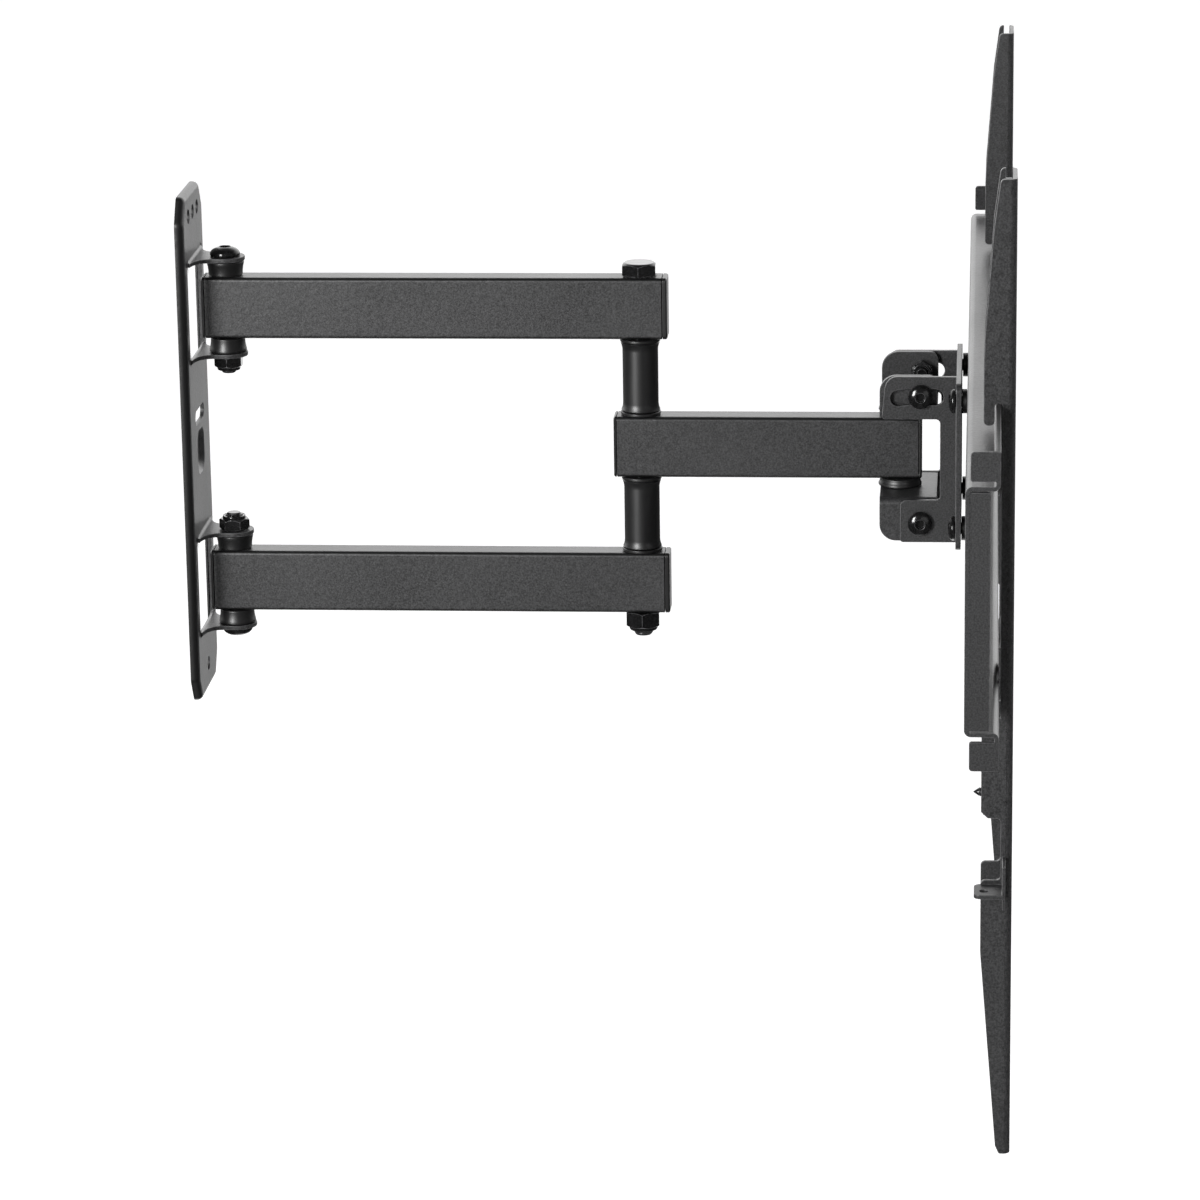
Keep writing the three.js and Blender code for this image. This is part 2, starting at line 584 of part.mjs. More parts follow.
// TV brackets, each built about its own middle
function tvBracket() {
  const { width, top, bottom, face, back, edge } = BRACKET;
  const [y, mid] = [width / 2 - SHEET / 2, face - SHEET / 2];
  const line = [
    [back - 5, -y],
    [mid, -y],
    [mid, y],
    [back - 5, y],
  ];
  const channel = alongZ(strip(line, SHEET, BRACKET.bend), [bottom, top]);
  const outline = rounded([
    [face + 1, top],
    [46.8, top, 2],
    [44, 149],
    [42, 122],
    [40.4, 101],
    [back, 86],
    [back, 61, 2],
    [44.8, 61, 2],
    [44.8, RAIL.lipZ + 0.8, 1.6],
    [edge, RAIL.lipZ + 0.8, 1.6],
    [edge, -RAIL.lipZ - 2],
    [back, -RAIL.lipZ - 3, 2],
    [back, -116, 1],
    [43, -119],
    [48.8, -119, 2],
    [48.8, -148, 2],
    [back, -148, 2],
    [back, -182, 4],
    [47.3, -275, 2],
    [49, bottom],
    [face + 1, bottom],
  ]);
  const reach = [-width, width];
  const slot = alongX(rectangle(2 * TV_SLOT.halfWidth, 2 * TV_SLOT.halfLength, 4.2), [mid - 5, face + 5], 6);
  const { firstZ, pitch, count } = TV_SLOT;
  const slots = Array.from({ length: count }, (_, i) => at(slot, 0, 0, firstZ + i * pitch));
  const { bridgeX, bridgeHeight } = LOCK;
  const bridge = less(
    box([bridgeX - 1, bridgeX + 1], [-y, y], [LOCK.z - bridgeHeight / 2, LOCK.z + bridgeHeight / 2]),
    [alongX(circle(0, LOCK.z, LOCK.shank + FIT), [30, 50])],
  );
  const side = -width / 2 - LATCH.reach;
  const lug = rounded([
    [LATCH.x, side, LATCH.corner],
    [51, side],
    [51, -y],
    [LATCH.x, -y, LATCH.corner],
  ]);
  const [low, high] = [LATCH.z - SHEET / 2, LATCH.z + SHEET / 2];
  const hole = circle(LATCH.x + 4.5, -width / 2 - 9, LATCH.hole);
  const latch = [
    alongZ(lug, [low, high]).subtract(alongZ(hole, [low - 1, high + 1])),
    box([49.6, 51], [side, -y], [low - 5, high + 13]),
  ];
  const relief = box([face - 5, face - 2.2], [y - SHEET, y + SHEET], [top - RELIEF, top + 1]);
  return joined([less(channel.intersect(alongY(outline, reach, 4)), [relief, ...slots]), bridge, ...latch]);
}

function lockScrew() {
  const { shank, head, tipX, point, bridgeX } = LOCK;
  const seat = bridgeX + 1 + FIT;
  const profile = [
    [0, tipX],
    [0.3, tipX],
    [shank, tipX + point],
    [shank, seat],
    [head, seat],
    [head, seat + 3],
    [head - 0.5, seat + 3.5],
    [0, seat + 3.5],
  ];
  return at(turned(profile, 24).rotate([0, 90, 0]), 0, 0, LOCK.z);
}

function buildTvBracket(group, side, name) {
  const bracket = new THREE.Group();
  bracket.position.y = side * BRACKET.y;
  add(bracket, `${name}_tv_bracket`, tvBracket(), paint);
  add(bracket, `${name}_lock_screw`, lockScrew(), blackSteel);
  group.add(bracket);
}

const mount = new THREE.Group();
buildWall(mount);
buildArms(mount);
buildMidArm(mount);

const head = new THREE.Group();
head.position.x = HEAD_AXIS_X;
buildSwivelHead(head);
buildTiltHead(head);
buildTvBracket(head, -1, "near");
buildTvBracket(head, 1, "far");
mount.add(head);

export default mount;
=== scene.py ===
import json
import math

import bmesh
import bpy
from mathutils import Matrix, Vector


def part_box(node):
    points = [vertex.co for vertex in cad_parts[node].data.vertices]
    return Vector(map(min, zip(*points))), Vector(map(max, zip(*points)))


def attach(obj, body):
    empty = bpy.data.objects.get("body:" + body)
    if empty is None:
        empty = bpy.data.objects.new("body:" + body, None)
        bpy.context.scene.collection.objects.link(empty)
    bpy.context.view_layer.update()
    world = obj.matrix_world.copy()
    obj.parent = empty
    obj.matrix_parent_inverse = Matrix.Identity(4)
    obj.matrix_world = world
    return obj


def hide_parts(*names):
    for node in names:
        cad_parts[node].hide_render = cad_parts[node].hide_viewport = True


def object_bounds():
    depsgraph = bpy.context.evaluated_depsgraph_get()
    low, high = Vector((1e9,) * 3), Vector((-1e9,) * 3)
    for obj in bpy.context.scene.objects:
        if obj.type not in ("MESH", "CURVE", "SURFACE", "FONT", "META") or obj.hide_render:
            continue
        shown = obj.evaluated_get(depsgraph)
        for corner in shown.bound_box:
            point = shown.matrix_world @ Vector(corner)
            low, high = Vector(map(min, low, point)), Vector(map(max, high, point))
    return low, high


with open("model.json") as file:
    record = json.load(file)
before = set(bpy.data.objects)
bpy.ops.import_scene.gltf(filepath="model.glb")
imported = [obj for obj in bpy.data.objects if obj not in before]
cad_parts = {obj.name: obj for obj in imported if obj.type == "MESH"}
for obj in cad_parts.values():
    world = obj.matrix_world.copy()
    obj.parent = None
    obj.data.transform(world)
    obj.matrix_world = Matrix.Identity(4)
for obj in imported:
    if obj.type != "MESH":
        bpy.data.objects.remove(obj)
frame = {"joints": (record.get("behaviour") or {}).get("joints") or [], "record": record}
cad_low, cad_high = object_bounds()

# Sizes below are in millimetres; meshes are written in metres.
MM = 0.001
FIT = 0.3  # gap between pieces that touch
SHEET = 2.0
HEAD_SHEET = 2.5
M6, M8, M10 = 3.0, 4.0, 5.0  # shank radii

RECORD = frame["record"]
BODY = {node: body for body, nodes in RECORD["behaviour"]["bodies"].items() for node in nodes}
SLOT = {row["node"]: row["material_slot"] for row in RECORD["subparts"]}
PIVOT = {joint["name"]: [v / MM for v in joint["pos_m"]] for joint in frame["joints"] if "pos_m" in joint}
WALL_X, ELBOW_X, HEAD_X = (PIVOT[name][0] for name in ("wall_swivel", "elbow", "head_swivel"))
TILT_X, _, TILT_Z = PIVOT["tilt"]


def span(node):
    """The node's (low, high) along X, Y and Z."""
    low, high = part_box(node)
    return [(low[i] / MM, high[i] / MM) for i in range(3)]


def middle(pair):
    return sum(pair) / 2


# Shapes -----------------------------------------------------------------------------------------

PLACE = {
    "X": lambda a, b, t: (t, a, b),
    "Y": lambda a, b, t: (a, t, b),
    "Z": lambda a, b, t: (a, b, t),
}


def new_object(bm, name="blank"):
    bmesh.ops.recalc_face_normals(bm, faces=bm.faces)
    mesh = bpy.data.meshes.new(name)
    bm.to_mesh(mesh)
    bm.free()
    obj = bpy.data.objects.new(name, mesh)
    bpy.context.scene.collection.objects.link(obj)
    return obj


def band(bm, low, high):
    """Quads between two rings of vertices of equal length."""
    for i, point in enumerate(low):
        j = (i + 1) % len(low)
        bm.faces.new((point, low[j], high[j], high[i]))


def skin(rings, closed=False):
    """Quads between rings of equal length, with a cap on each end unless the rings close on themselves."""
    bm = bmesh.new()
    made = [[bm.verts.new([MM * v for v in point]) for point in ring] for ring in rings]
    pairs = list(zip(made, made[1:] + made[:1])) if closed else list(zip(made, made[1:]))
    for low, high in pairs:
        band(bm, low, high)
    if not closed:
        bm.faces.new(made[0])
        bm.faces.new(made[-1])
    return new_object(bm)


def loft(sections, axis):
    """A body through (place, outline) sections along an axis."""
    return skin([[PLACE[axis](a, b, place) for a, b in outline] for place, outline in sections])


def prism(outline, axis, low, high):
    return loft([(low, outline), (high, outline)], axis)


def box(x, y, z):
    return prism([(x[0], y[0]), (x[1], y[0]), (x[1], y[1]), (x[0], y[1])], "Z", *z)


def arc(x, y, radius, start, end, steps):
    turn = (end - start) / steps
    return [(x + radius * math.cos(start + turn * i), y + radius * math.sin(start + turn * i))
            for i in range(steps + 1)]


def curve(start, pull, end, steps):
    """A quadratic curve from start to end, drawn towards pull."""
    places = [i / steps for i in range(steps + 1)]
    return [tuple((1 - t) ** 2 * a + 2 * t * (1 - t) * b + t * t * c for a, b, c in zip(start, pull, end))
            for t in places]


def circle(x, y, radius, steps=40):
    return arc(x, y, radius, 0, 2 * math.pi, steps)[:-1]


def fillet(before, corner, after, radius, steps):
    """The points that replace a corner by an arc."""
    corner = Vector(corner)
    one, two = (Vector(before) - corner).normalized(), (Vector(after) - corner).normalized()
    half = one.angle(two) / 2
    centre = corner + (one + two).normalized() * (radius / math.sin(half))
    first = corner + one * (radius / math.tan(half)) - centre
    sweep = (math.pi - 2 * half) * (1 if one.cross(two) < 0 else -1)
    return [centre + Matrix.Rotation(sweep * i / steps, 2) @ first for i in range(steps + 1)]


def rounded(points, steps=8):
    """A closed outline of (x, y, radius) corners."""
    outline = []
    for i, (x, y, radius) in enumerate(points):
        if radius:
            before, after = points[i - 1][:2], points[(i + 1) % len(points)][:2]
            outline += fillet(before, (x, y), after, radius, steps)
        else:
            outline.append(Vector((x, y)))
    return outline


def rectangle(width, height, radius, steps=8):
    x, y = width / 2, height / 2
    return rounded([(-x, -y, radius), (x, -y, radius), (x, y, radius), (-x, y, radius)], steps)


def strip(points, thickness, radius, steps=10):
    """The section of a bent sheet, from the line of its mid-sheet and the bend radius there."""
    line = [Vector(points[0])]
    for before, corner, after in zip(points, points[1:], points[2:]):
        line += fillet(before, corner, after, radius, steps)
    line.append(Vector(points[-1]))
    sides = [[], []]
    for i, point in enumerate(line):
        back = (point - line[max(i - 1, 0)]).normalized()
        ahead = (line[min(i + 1, len(line) - 1)] - point).normalized()
        heading = (back + ahead).normalized()
        offset = Vector((-heading.y, heading.x)) * thickness / 2
        sides[0].append(point + offset)
        sides[1].append(point - offset)
    return sides[0] + sides[1][::-1]


def around(radius, turn, height):
    """The point at a radius, an angle and a height about Z."""
    return (radius * math.cos(turn), radius * math.sin(turn), height)


def turns_of(steps):
    """Evenly spaced angles once round."""
    return [2 * math.pi * i / steps for i in range(steps)]


def turned(profile, steps=64):
    """A round body about Z from (radius, height) points; a profile that misses the axis is a closed ring."""
    turns = turns_of(steps)
    if profile[0][0] > 0:
        return skin([[around(r, t, z) for r, z in profile] for t in turns], closed=True)
    bm = bmesh.new()
    rings = [[bm.verts.new([MM * v for v in around(r, t, z)]) for t in turns] for r, z in profile[1:-1]]
    for low, high in zip(rings, rings[1:]):
        band(bm, low, high)
    for (_, z), ring in ((profile[0], rings[0]), (profile[-1], rings[-1])):
        pole = bm.verts.new((0, 0, MM * z))
        for i in range(steps):
            bm.faces.new((ring[i], ring[(i + 1) % steps], pole))
    return new_object(bm)


def ring(outer, inner, height, edge, steps=64):
    """A washer or bush on z = 0 with rounded outer edges."""
    low = arc(outer - edge, edge, edge, -math.pi / 2, 0, 5)
    high = arc(outer - edge, height - edge, edge, 0, math.pi / 2, 5)
    return turned([(inner, 0), *low, *high, (inner, height)], steps)


def combine(base, operation, *tools):
    for tool in tools:
        change = base.modifiers.new(operation, "BOOLEAN")
        change.object, change.operation, change.solver = tool, operation, "EXACT"
    apply_modifiers(base)
    for tool in tools:
        bpy.data.objects.remove(tool)
    return base


def less(base, *tools):
    return combine(base, "DIFFERENCE", *tools)


def joined(base, *others):
    return combine(base, "UNION", *others)


def both(one, other):
    return combine(one, "INTERSECT", other)


def apply_modifiers(obj):
    graph = bpy.context.evaluated_depsgraph_get()
    mesh = bpy.data.meshes.new_from_object(obj.evaluated_get(graph))
    obj.modifiers.clear()
    obj.data = mesh


def moved(obj, *offset):
    obj.data.transform(Matrix.Translation([MM * v for v in offset]))
    return obj


def turned_over(obj):
    obj.data.transform(Matrix.Rotation(math.pi, 4, "X"))
    return obj


def soften(obj, width, angle=35, segments=2):
    """Rounds the sharp edges and shades the faces smoothly up to them."""
    bm = bmesh.new()
    bm.from_mesh(obj.data)
    bmesh.ops.remove_doubles(bm, verts=bm.verts, dist=0.002 * MM)
    bmesh.ops.dissolve_limit(bm, angle_limit=math.radians(0.3), verts=bm.verts, edges=bm.edges)
    bm.to_mesh(obj.data)
    bm.free()
    if width:
        obj.data.materials.append(None)
        obj.data.materials.append(None)
        bevel = obj.modifiers.new("edges", "BEVEL")
        bevel.material = 1
        bevel.width, bevel.segments = width * MM, segments
        bevel.limit_method, bevel.angle_limit = "ANGLE", math.radians(angle)
        bevel.use_clamp_overlap = False
        bevel.miter_outer = "MITER_ARC"
    apply_modifiers(obj)
    mark_edge_wear_and_highlight(obj.data)
    smooth_by_area(obj)
    return obj


def mark_edge_wear_and_highlight(mesh):
    """Notes the bevel's faces, where a finish wears first and where edges get a painted highlight, for the
    materials to read.
    """
    # Bevel faces carry the edge wear and the painted edge highlight.
    wear_and_highlight = [float(face.material_index == 1) for face in mesh.polygons]
    mesh.attributes.new("edge_wear_and_highlight", "FLOAT", "FACE").data.foreach_set("value", wear_and_highlight)
    mesh.polygons.foreach_set("material_index", [0] * len(wear_and_highlight))
    mesh.materials.clear()


def mark_painted_shade(obj, gets_painted_shade):
    """Notes the faces that get painted shade, near-black on the coat, for the materials to read."""
    # Marked faces are painted near-black: painted shade.
    painted_shade = [float(gets_painted_shade(face)) for face in obj.data.polygons]
    obj.data.attributes.new("painted_shade", "FLOAT", "FACE").data.foreach_set("value", painted_shade)
    return obj


def on_corner(face):
    """Says whether a tube's face is part of a rounded corner."""
    return sorted(abs(v) for v in face.normal)[1] > 0.3


def smooth_by_area(obj):
    obj.data.shade_smooth()
    obj.data.set_sharp_from_angle(angle=math.radians(40))
    normals = obj.modifiers.new("normals", "WEIGHTED_NORMAL")
    normals.keep_sharp, normals.weight = True, 80
    apply_modifiers(obj)


# Materials --------------------------------------------------------------------------------------

class Nodes:
    """A material's node tree with a Principled shader, built one short call at a time."""

    def __init__(self, name):
        self.material = bpy.data.materials.new(name)
        self.material.use_nodes = True
        self.tree = self.material.node_tree
        self.shader = self.tree.nodes["Principled BSDF"]
        self.place = self.tree.nodes.new("ShaderNodeTexCoord").outputs["Object"]

    def add(self, kind, **inputs):
        node = self.tree.nodes.new(kind)
        for name, value in inputs.items():
            self.put(node.inputs[name.replace("_", " ")], value)
        return node

    def put(self, socket, value):
        if isinstance(value, bpy.types.NodeSocket):
            self.tree.links.new(value, socket)
        else:
            socket.default_value = value

    def noise(self, scale, detail=2.0, roughness=0.5, stretch=(1, 1, 1)):
        place = self.add("ShaderNodeMapping", Vector=self.place, Scale=stretch).outputs["Vector"]
        node = self.add("ShaderNodeTexNoise", Vector=place, Scale=scale, Detail=detail, Roughness=roughness)
        return node.outputs["Fac"]

    def ramp(self, value, low, high, at=(0.0, 1.0)):
        """value from at[0] to at[1] mapped to low to high, both clamped."""
        node = self.add("ShaderNodeMapRange", Value=value, From_Min=at[0], From_Max=at[1],
                        To_Min=low, To_Max=high)
        return node.outputs["Result"]

    def mix(self, factor, one, two):
        node = self.tree.nodes.new("ShaderNodeMix")
        node.data_type = "RGBA"
        colours = [socket for socket in node.inputs if socket.type == "RGBA"]
        self.put(node.inputs["Factor"], factor)
        self.put(colours[0], one)
        self.put(colours[1], two)
        return next(socket for socket in node.outputs if socket.type == "RGBA")

    def math(self, operation, one, two):
        node = self.tree.nodes.new("ShaderNodeMath")
        node.operation = operation
        self.put(node.inputs[0], one)
        self.put(node.inputs[1], two)
        return node.outputs[0]

    def attribute(self, name):
        node = self.tree.nodes.new("ShaderNodeAttribute")
        node.attribute_name = name
        return node.outputs["Fac"]

    def edge_wear_and_highlight(self, scale, low, high):
        """How far the edges are painted pale, as finish worn through and as painted highlight: on bevelled
        edges only, broken up by noise.
        """
        broken = self.ramp(self.noise(scale, 3), low, high, (0.35, 0.65))
        return self.math("MULTIPLY", self.attribute("edge_wear_and_highlight"), broken)

    def bump(self, height, distance, strength=1.0, under=None):
        node = self.add("ShaderNodeBump", Strength=strength, Distance=distance * MM, Height=height)
        if under:
            self.put(node.inputs["Normal"], under)
        return node.outputs["Normal"]

    def surface(self, **inputs):
        for name, value in inputs.items():
            self.put(self.shader.inputs[name.replace("_", " ")], value)
        return self.material


def grey(value, blue=1.03):
    return (value, value, value * blue, 1.0)


def powder_coat():
    """Fine textured powder coat: speckled charcoal, orange peel, edges painted pale as wear and painted
    highlight, and painted shade near-black on rounded corners and the plate rim.
    """
    n = Nodes("powder_coat")
    grain = n.noise(1300, 3, 0.6)
    cloud = n.noise(14, 3, 0.55)
    speckle = n.mix(n.ramp(grain, 0, 1, (0.32, 0.68)), grey(0.005), grey(0.052))
    patchy = n.mix(n.ramp(cloud, 0, 0.2, (0.35, 0.7)), speckle, grey(0.045))
    # Bevelled edges painted pale grey: worn paint and painted highlight. Marked corner and rim faces painted
    # near-black: painted shade.
    coat_with_painted_light = n.mix(n.attribute("painted_shade"), n.mix(n.edge_wear_and_highlight(260, 0.1, 0.6), patchy, grey(0.12)), grey(0.006))
    peel = n.bump(n.noise(380, 2, 0.4), 0.16, 0.6)
    return n.surface(
        Base_Color=coat_with_painted_light,
        Roughness=n.ramp(cloud, 0.37, 0.42, (0.3, 0.7)),
        Specular_IOR_Level=0.75,
        Normal=n.bump(grain, 0.055, 0.65, peel),
    )


def black_plastic():
    """Satin moulded plastic with faint flow marks, a soft sheen, and edges painted lighter as wear and
    painted highlight.
    """
    n = Nodes("black_plastic")
    flow = n.noise(60, 3, 0.6, (1, 1, 0.3))
    colour = n.mix(n.ramp(flow, 0, 1, (0.3, 0.7)), grey(0.004), grey(0.008))
    return n.surface(
        # Edges painted lighter grey: worn plastic and painted highlight.
        Base_Color=n.mix(n.edge_wear_and_highlight(400, 0, 0.5), colour, grey(0.045)),
        Roughness=n.ramp(flow, 0.36, 0.43, (0.3, 0.7)),
        Specular_IOR_Level=0.85,
        Normal=n.bump(n.noise(900, 2), 0.02, 0.5),
    )


def black_steel():
    """Glossy black oxide on forged steel, with a fine grain, and corners painted bright as rubbed steel and
    painted glint.
    """
    n = Nodes("black_steel")
    grain = n.noise(700, 3, 0.65)
    colour = n.mix(n.ramp(grain, 0, 1, (0.3, 0.7)), grey(0.004), grey(0.01))
    return n.surface(
        # Corners painted bright grey: rubbed steel and painted glint.
        Base_Color=n.mix(n.edge_wear_and_highlight(500, 0.1, 0.8), colour, grey(0.12)),
        Roughness=n.ramp(grain, 0.12, 0.2, (0.3, 0.7)),
        Specular_IOR_Level=0.6,
        Normal=n.bump(grain, 0.03, 0.5),
    )


MATERIAL = {"powder_coat": powder_coat(), "black_plastic": black_plastic(), "black_steel": black_steel()}


def fit(obj, node, name):
    """Hands a finished mesh over as the piece that stands for a CAD node."""
    obj.name = obj.data.name = name
    obj.data.materials.clear()
    obj.data.materials.append(MATERIAL[SLOT[node]])
    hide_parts(node)
    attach(obj, BODY[node])


# Wall plate -------------------------------------------------------------------------------------

PLATE_BEND = 3.0
PLATE_DEPTH = 4.4
(_, PLATE_SIDE), (_, PLATE_END) = span("wall_plate")[1:]
CORNER_CUT = (8.0, 12.0)  # how far a corner's slope runs along Y and Z
PAD = {"z": -4, "width": 14, "height": 16, "corner": 4, "slope": 3}
WINDOW = {"width": 42, "half_height": 22.5}
EAR = {"radius": 9.5, "bend": 2.5, "rise": 8, "neck": 5}
WALL_HOLE = 3.5
TOP_HOLES_Z, TOP_PITCH = 114, 13
MIDDLE_SLOT_Z, MIDDLE_SLOT_LENGTH = 14, 26
BOTTOM_HOLE_Z = -112
ARM_Z = middle(span("upper_arm")[2])


def pan_block(inset, front, bend):
    """A block with the wall plate's outline and a rounded front rim."""
    y, z = PLATE_SIDE - inset, PLATE_END - inset
    cut_y, cut_z = CORNER_CUT
    quarter = [(y - cut_y, z), (y, z - cut_z), (y, -z + cut_z), (y - cut_y, -z)]
    outline = rounded([(a, b, bend + 1) for a, b in quarter + [(-a, -b) for a, b in quarter]], 6)
    block = prism(outline, "X", -10, front)
    bm = bmesh.new()
    bm.from_mesh(block.data)
    rim = [e for e in bm.edges if all(abs(v.co.x - front * MM) < 1e-7 for v in e.verts)]
    bmesh.ops.bevel(bm, geom=rim, offset=bend * MM, segments=6, profile=0.5, affect="EDGES",
                    clamp_overlap=False)
    bm.to_mesh(block.data)
    bm.free()
    return block


def pressed_pad(floor, depth):
    """A dish pressed back through the plate, from its foot on the floor to a mouth in front."""
    foot = rectangle(PAD["width"], PAD["height"], PAD["corner"])
    spread = 2 * PAD["slope"]
    mouth = rectangle(PAD["width"] + spread, PAD["height"] + spread, PAD["corner"] + PAD["slope"])
    dish = loft([(floor, foot), (floor + depth - SHEET, mouth), (floor + depth + 4, mouth)], "X")
    return moved(dish, 0, 0, PAD["z"])


def ear(z, way, depth):
    """One ear bent forward out of the plate, which starts on the way side of it."""
    centre = z + way * SHEET / 2
    start = centre + way * EAR["rise"]
    line = [(depth - SHEET / 2, start), (depth - SHEET / 2, centre), (WALL_X + EAR["radius"] + 1, centre)]
    root, radius = WINDOW["width"] / 2, EAR["radius"]
    bent = prism(strip(line, SHEET, EAR["bend"], 8), "Y", -root, root)
    taper = curve((depth + 1, root), (depth + 2, radius), (WALL_X - EAR["neck"], radius), 10)
    side = [(0, root), *taper]
    tip = arc(WALL_X, 0, radius, -math.pi / 2, math.pi / 2, 32)
    plan = [(x, -y) for x, y in side] + tip + side[::-1]
    levels = (min(z, start) - 5, max(z, start) + 5)
    return less(both(bent, prism(plan, "Z", *levels)), prism(circle(WALL_X, 0, M8 + FIT), "Z", *levels))


def on_plate_rim(face):
    """Says whether a face of the wall plate is on its side wall or in a hole near an end."""
    beside, beyond = PLATE_SIDE - PLATE_BEND, PLATE_END - CORNER_CUT[1]
    outside = abs(face.center.y) > beside * MM or abs(face.center.z) > beyond * MM
    return outside and abs(face.normal.x) < 0.8


def build_wall_plate():
    depth, front = PLATE_DEPTH, PLATE_DEPTH + 1
    pan = less(pan_block(0, depth, PLATE_BEND), pan_block(SHEET, depth - SHEET, PLATE_BEND - SHEET))
    pan = both(pan, box((0, front), (-50, 50), (-200, 200)))
    pad = both(pressed_pad(0, depth), box((0, depth - 1), (-50, 50), (-50, 50)))
    through = (-3, front)
    beside, edge = WINDOW["width"] / 2, WINDOW["half_height"]
    reach = edge + EAR["bend"] + SHEET / 2
    windows = [box(through, (-beside, beside), (s * ARM_Z - reach, s * ARM_Z + reach)) for s in (-1, 1)]
    holes = [(y, TOP_HOLES_Z) for y in (-TOP_PITCH, 0, TOP_PITCH)] + [(0, BOTTOM_HOLE_Z)]
    bores = [prism(circle(y, z, WALL_HOLE), "X", *through) for y, z in holes]
    slot = rectangle(MIDDLE_SLOT_LENGTH, 2 * WALL_HOLE, WALL_HOLE - 0.05, 12)
    bores.append(moved(prism(slot, "X", *through), 0, 0, MIDDLE_SLOT_Z))
    plate = less(joined(pan, pad), pressed_pad(SHEET, depth), *windows, *bores)
    ears = [ear(side * ARM_Z + way * edge, way, depth) for side in (-1, 1) for way in (-1, 1)]
    whole = soften(joined(plate, *ears), 0.3)
    # The plate's side wall and the holes near its ends get painted shade, near-black.
    fit(mark_painted_shade(whole, on_plate_rim), "wall_plate", "wall_plate_pressing")


# Arms -------------------------------------------------------------------------------------------

TUBE = {"height": 30, "width": 15, "wall": 1.5, "corner": 2.0, "inner_corner": 0.9}
CAP_EDGE = 0.6
PLUG = {"corner": 0.8, "groove": 0.4}


def tube_outline(inset, corner, steps):
    """A tube's section, shrunk by an inset on every side."""
    return rectangle(TUBE["width"] - 2 * inset, TUBE["height"] - 2 * inset, corner, steps)


def build_tube(node, bolts):
    """A rectangular tube with bolt holes at (x, radius)."""
    (x0, x1), _, z = span(node)
    outer = prism(tube_outline(0, TUBE["corner"], 8), "X", x0, x1)
    hollow = prism(tube_outline(TUBE["wall"], TUBE["inner_corner"], 4), "X", x0 - 1, x1 + 1)
    bores = [prism(circle(x, 0, radius + FIT), "Z", -20, 20) for x, radius in bolts]
    tube = moved(less(outer, hollow, *bores), 0, 0, middle(z))
    # The tube's rounded corners get painted shade, near-black.
    fit(mark_painted_shade(soften(tube, 0.25), on_corner), node, f"{node}_tube")


def build_cap(node, way, flange):
    """A tube's end cap, its flange on the way side and its ribbed plug inside the tube."""
    (x0, x1), _, z = span(node)
    outside, end = (x1, x0) if way > 0 else (x0, x1)
    joint, edge = outside - way * flange, min(CAP_EDGE, flange / 2)
    lip = tube_outline(0, TUBE["corner"], 8)
    rim = tube_outline(CAP_EDGE, TUBE["corner"] - CAP_EDGE, 8)
    face = loft([(joint, lip), (outside - way * edge, lip), (outside, rim)], "X")
    inside = TUBE["wall"] + FIT
    core = tube_outline(inside, PLUG["corner"], 4)
    slim = tube_outline(inside + PLUG["groove"], PLUG["corner"], 4)
    plug = loft(
        [(joint + way * 0.3, core), (joint - way, core), (joint - way * 1.3, slim), (joint - way * 2.3, slim),
         (joint - way * 2.6, core), (end + way * 0.6, core), (end, slim)], "X",
    )
    fit(soften(moved(joined(face, plug), 0, 0, middle(z)), 0.15, 50), node, f"{node}_moulding")


def build_bushing(node, bore, low_end):
    """A plastic bush that flares towards its seat. low_end says whether the seat is below."""
    (x0, x1), y, (z0, z1) = span(node)
    outer, height = (x1 - x0) / 2, z1 - z0
    edge, rim, waist, crown = 0.4, 1.1, 0.7, 0.6
    places = [i / 8 for i in range(9)]
    flare = [(outer - waist * (1 - (1 - t) ** 2), rim + (height - rim - 0.7) * t) for t in places]
    profile = [
        (bore + FIT, 0), *arc(outer - edge, edge, edge, -math.pi / 2, 0, 5), *flare,
        *arc(outer - waist - crown, height - crown, crown, 0, math.pi / 2, 5), (bore + FIT, height),
    ]
    body = turned(profile, 72)
    if not low_end:
        body = moved(turned_over(body), 0, 0, height)
    fit(soften(moved(body, middle((x0, x1)), middle(y), z0), 0), node, f"{node}_moulding")


def build_sleeve(node):
    """A long plastic sleeve with softly flared ends."""
    (x0, x1), _, (z0, z1) = span(node)
    body, height, flare, rise, lip = (x1 - x0) / 2, z1 - z0, 0.8, 4.0, 0.5
    places = [i / 10 for i in range(11)]
    foot = [(body + flare * (1 - t) ** 2, lip + (rise - lip) * t) for t in places]
    low = [(body + flare - 0.4, 0), *foot]
    high = [(radius, height - z) for radius, z in reversed(low)]
    profile = [(M10 + FIT, 0), *low, *high, (M10 + FIT, height)]
    fit(soften(moved(turned(profile, 80), ELBOW_X, 0, z0), 0), node, f"{node}_moulding")


def build_washer(node, bore):
    (x0, x1), y, (z0, z1) = span(node)
    body = ring((x1 - x0) / 2, bore + FIT, z1 - z0, 0.4)
    fit(soften(moved(body, middle((x0, x1)), middle(y), z0), 0), node, f"{node}_moulding")


# Fasteners --------------------------------------------------------------------------------------
# Each is made upright, with its seat on z = 0 and its shank or bore below.


def hexagon(flats):
    radius = flats / math.sqrt(3)
    return [(radius * math.sin(math.pi * i / 3), radius * math.cos(math.pi * i / 3)) for i in range(6)]


